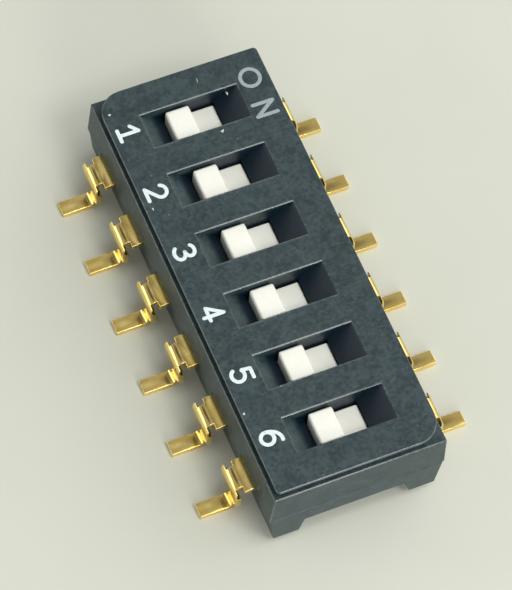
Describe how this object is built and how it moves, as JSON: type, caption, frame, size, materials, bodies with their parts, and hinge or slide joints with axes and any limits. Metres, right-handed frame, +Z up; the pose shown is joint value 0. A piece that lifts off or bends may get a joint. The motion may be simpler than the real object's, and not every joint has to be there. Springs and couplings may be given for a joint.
{
  "type": "surface-mount dip slide switch",
  "caption": "Black surface-mount DIP switch: a row of white slide actuators in sloped slots, a shadow groove round the top, and gold gull-wing terminals along both long sides.",
  "frame": {"origin": "middle of the footprint, on the plane of the board under the terminals' soles", "axes": "+X across the body towards the ON side, +Y along the row towards position 1, +Z up, away from the board"},
  "size_m": [0.01, 0.0166, 0.0037],
  "materials": {
    "base_black": "matte black moulded plastic",
    "cover_black": "matte black moulded plastic, finely textured",
    "slider_white": "semi-gloss white moulded plastic",
    "contact_gold": "gold-plated spring strip",
    "terminal_gold": "gold-plated strip, satin, with sheared edges"
  },
  "bodies": {
    "housing": {"base": "base_black", "cover": "cover_black", "terminal_left_1": "terminal_gold", "terminal_left_2": "terminal_gold", "terminal_left_3": "terminal_gold", "terminal_left_4": "terminal_gold", "terminal_left_5": "terminal_gold", "terminal_left_6": "terminal_gold", "terminal_right_1": "terminal_gold", "terminal_right_2": "terminal_gold", "terminal_right_3": "terminal_gold", "terminal_right_4": "terminal_gold", "terminal_right_5": "terminal_gold", "terminal_right_6": "terminal_gold"},
    "actuator_1": {"slider_1": "slider_white", "contact_1": "contact_gold"},
    "actuator_2": {"slider_2": "slider_white", "contact_2": "contact_gold"},
    "actuator_3": {"slider_3": "slider_white", "contact_3": "contact_gold"},
    "actuator_4": {"slider_4": "slider_white", "contact_4": "contact_gold"},
    "actuator_5": {"slider_5": "slider_white", "contact_5": "contact_gold"},
    "actuator_6": {"slider_6": "slider_white", "contact_6": "contact_gold"}
  },
  "joints": [
    {"name": "slide_1", "type": "slide", "parent": "housing", "child": "actuator_1", "axis": [1, 0, 0], "range_m": [0, 0.00094]},
    {"name": "slide_2", "type": "slide", "parent": "housing", "child": "actuator_2", "axis": [1, 0, 0], "range_m": [0, 0.00094]},
    {"name": "slide_3", "type": "slide", "parent": "housing", "child": "actuator_3", "axis": [1, 0, 0], "range_m": [0, 0.00094]},
    {"name": "slide_4", "type": "slide", "parent": "housing", "child": "actuator_4", "axis": [1, 0, 0], "range_m": [0, 0.00094]},
    {"name": "slide_5", "type": "slide", "parent": "housing", "child": "actuator_5", "axis": [1, 0, 0], "range_m": [0, 0.00094]},
    {"name": "slide_6", "type": "slide", "parent": "housing", "child": "actuator_6", "axis": [1, 0, 0], "range_m": [0, 0.00094]}
  ]
}
